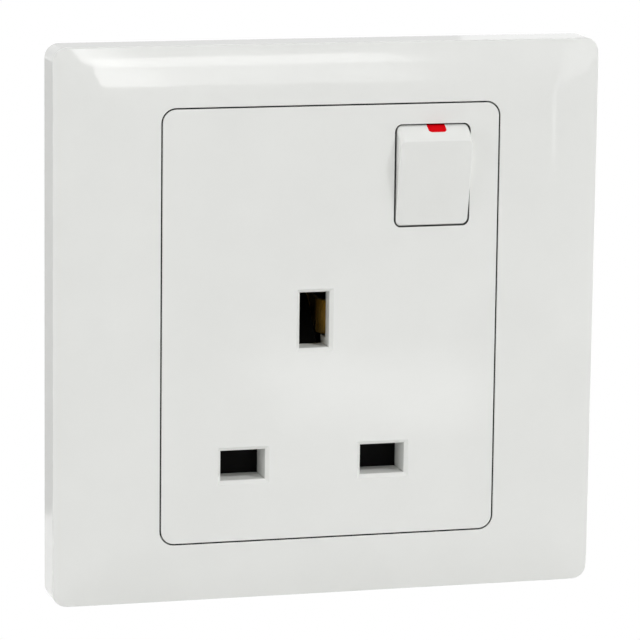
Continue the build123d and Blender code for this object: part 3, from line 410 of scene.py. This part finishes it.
# %% Studio lamps
PLATE = Vector((0.0, 0.0, 0.0))
TOP_BORDER = Vector((0.0, -7.5, 38.0)) * MM
RIGHT_BORDER = Vector((37.0, -7.5, 20.0)) * MM
FACE_LEFT = Vector((-6.0, -8.0, -9.0)) * MM
FACE_RIGHT = Vector((15.5, -8.0, -15.0)) * MM
ROOM_REACH, WINDOW_REACH, PATCH_REACH = 3.2, 1.4, 1.0  # m

# Key, softbox, pale walls and ceiling, out of every reflection: azimuths, elevations, radiance
ROOM_LAMPS = {
    "key": ((33, 39), (48, 54), 93.0),
    "softbox": ((-15, 35), (-4, 18), 0.15),
    "wall_left": ((-95, -50), (0, 28), 2.6),
    "wall_right": ((50, 90), (0, 28), 1.2),
    "wall_back": ((150, 210), (12, 40), 1.2),
    "wall_back_left": ((-150, -90), (35, 75), 0.4),
    "wall_back_right": ((95, 160), (10, 60), 0.7),
    "ceiling": ((-30, 30), (75, 105), 0.7),
}
for name, setting in ROOM_LAMPS.items():
    lamp(name, PLATE, ROOM_REACH, *setting, mirrored=False)

# The window that the top border mirrors, a narrow one for the right border, and two low panels for the faint patches on
# the flat face: centre, distance, azimuths, elevations, radiance
MIRRORED_LAMPS = {
    "window_bright_low": (TOP_BORDER, WINDOW_REACH, (8.0, 12.1), (7.6, 20.4), 3.0),
    "window_bright_high": (TOP_BORDER, WINDOW_REACH, (0.0, 11.8), (20.9, 38.0), 3.0),
    "window_low": (TOP_BORDER, WINDOW_REACH, (12.1, 17.6), (7.6, 20.4), 1.1),
    "window_high": (TOP_BORDER, WINDOW_REACH, (11.8, 18.3), (20.9, 28.0), 2.5),
    "window_far": (RIGHT_BORDER, WINDOW_REACH, (24.5, 28.0), (-8.0, -6.0), 1.35),
    "patch_left": (FACE_LEFT, PATCH_REACH, (14.1, 19.3), (-11.5, -11.0), 1.9),
    "patch_right": (FACE_RIGHT, PATCH_REACH, (13.7, 18.5), (-12.2, -11.3), 1.2),
}
for name, setting in MIRRORED_LAMPS.items():
    lamp(name, *setting, mirrored=True)

# %% [markdown]
# ## Cards
# Glossy white plastic mirrors a white room most strongly where it is seen at a slant, and its edges would melt into the
# background. A photographer hangs pale grey cards just where the top and left edges look, out of the picture, and a lit
# one at the right, which the mitre of the upper right corner mirrors. Here they are planes that only mirror rays meet,
# so they neither take light away nor add any.


# %% Cards for the slanting faces
def card(name, azimuth, elevation, distance, width, height, tone):
    """Plain card, seen in reflections only, with sizes in metres; tone 1 is as white as the room."""
    bpy.ops.mesh.primitive_plane_add(size=1.0)
    made = bpy.context.object
    made.name = name
    made.scale = (width, height, 1.0)
    aimed(made, PLATE, azimuth, elevation, distance)
    made.visible_camera = False
    made.visible_diffuse = False
    made.visible_shadow = False
    made.visible_transmission = False
    felt, tree, _ = new_material(name + "_felt")
    glow = node(tree, "Emission", {"Color": WHITE, "Strength": tone})
    node(tree, "OutputMaterial", links={"Surface": glow.outputs[0]})
    made.data.materials.append(felt)


card("card_behind_top", azimuth=170.0, elevation=10.5, distance=1.0, width=0.30, height=0.26, tone=0.75)
card("card_behind_left", azimuth=195.4, elevation=-9.0, distance=0.9, width=0.30, height=0.19, tone=0.53)
card("card_right", azimuth=38.0, elevation=14.0, distance=1.0, width=0.50, height=0.50, tone=1.7)

# %% [markdown]
# ## Camera
# The view could be turned by eye until it looks right. Here it is worked out from the photograph's own lines: the
# plate's edges give the angle, the distance and the long lens.

# %% Camera at the photograph's view
VIEW_AZIMUTH, VIEW_ELEVATION, VIEW_ROLL = -15.417, 10.541, 0.70  # degrees
VIEW_TARGET = Vector((0.530, 0.0, -0.967)) * MM
VIEW_DISTANCE = 620.9 * MM
LENS, SENSOR_WIDTH = 224.95, 36.0  # mm, as on a camera
NEAR_CLIP, FAR_CLIP = 0.05, 30.0  # m

camera_data = bpy.data.cameras.new("camera")
camera_data.lens = LENS
camera_data.sensor_width = SENSOR_WIDTH
camera_data.clip_start, camera_data.clip_end = NEAR_CLIP, FAR_CLIP
camera = bpy.data.objects.new("camera", camera_data)
scene.collection.objects.link(camera)
aimed(camera, VIEW_TARGET, VIEW_AZIMUTH, VIEW_ELEVATION, VIEW_DISTANCE)
roll = Quaternion((0, 0, 1), math.radians(VIEW_ROLL))
camera.rotation_quaternion = camera.rotation_quaternion @ roll
scene.camera = camera
print("camera", [round(v / MM, 1) for v in camera.location], "mm")
